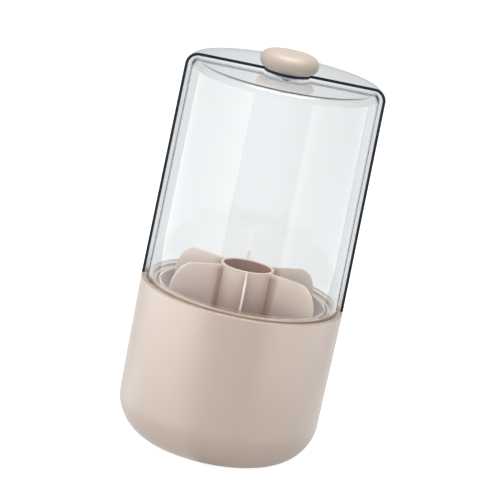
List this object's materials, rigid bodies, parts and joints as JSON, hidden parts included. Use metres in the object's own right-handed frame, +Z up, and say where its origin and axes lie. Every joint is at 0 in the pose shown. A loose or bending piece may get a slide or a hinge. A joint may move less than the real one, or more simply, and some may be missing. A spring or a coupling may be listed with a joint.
{
  "type": "rotating makeup organizer",
  "caption": "Rotating makeup organizer: a divided cup turns on a ball race in a beige base, under a clear cover whose front half swings round behind.",
  "frame": {"origin": "centre of the bottom face of the foot ring, on the axis of the cup, the door and the knob", "axes": "+Z up along the turning axis; -Y to the front, where the clear door is when closed; +X to the right seen from the front"},
  "size_m": [0.13, 0.13, 0.2611],
  "materials": {
    "beige_plastic": "satin moulded plastic, warm beige",
    "cup_plastic": "satin moulded plastic, warm beige",
    "divider_plastic": "satin moulded plastic, warm beige",
    "knob_plastic": "satin moulded plastic, warm beige",
    "clear_plastic": "polished clear plastic",
    "foot_rubber": "soft matte silicone",
    "race_steel": "pressed steel",
    "screw_steel": "zinc-plated steel",
    "ball_chrome": "polished steel balls",
    "white_plastic": "natural white bearing plastic",
    "insert_brass": "turned brass"
  },
  "bodies": {
    "base": {"base_shell": "beige_plastic", "foot_ring": "foot_rubber", "track_ring": "beige_plastic", "lower_race": "race_steel", "lower_race_screws": "screw_steel", "spindle": "screw_steel", "spindle_washer": "race_steel", "spindle_clip": "race_steel"},
    "cage": {"ball_cage": "white_plastic", "bearing_balls": "ball_chrome"},
    "carousel": {"upper_race": "race_steel", "cup_screws": "screw_steel", "rotating_cup": "cup_plastic"},
    "divider": {"divider_insert": "divider_plastic"},
    "cover": {"back_shell": "clear_plastic", "pivot_bush": "white_plastic"},
    "door": {"door_hoop": "clear_plastic", "front_door": "clear_plastic", "knob": "knob_plastic", "knob_insert": "insert_brass", "pivot_screw": "screw_steel", "screw_washer": "race_steel"}
  },
  "joints": [
    {"name": "carousel_spin", "type": "hinge", "parent": "base", "child": "carousel", "pos_m": [0, 0, 0.0135], "axis": [0, 0, 1], "continuous": true},
    {"name": "cage_spin", "type": "hinge", "parent": "base", "child": "cage", "pos_m": [0, 0, 0.01], "axis": [0, 0, 1], "continuous": true},
    {"name": "divider_lift", "type": "slide", "parent": "carousel", "child": "divider", "axis": [0, 0, 1], "range_m": [0, 0.105]},
    {"name": "cover_lift", "type": "slide", "parent": "base", "child": "cover", "axis": [0, 0, 1], "range_m": [0, 0.12]},
    {"name": "door_turn", "type": "hinge", "parent": "cover", "child": "door", "pos_m": [0, 0, 0.2477], "axis": [0, 0, 1], "range_deg": [0, 180]}
  ],
  "couplings": [
    {"joint": "cage_spin", "follows": "carousel_spin", "ratio": 0.5}
  ]
}
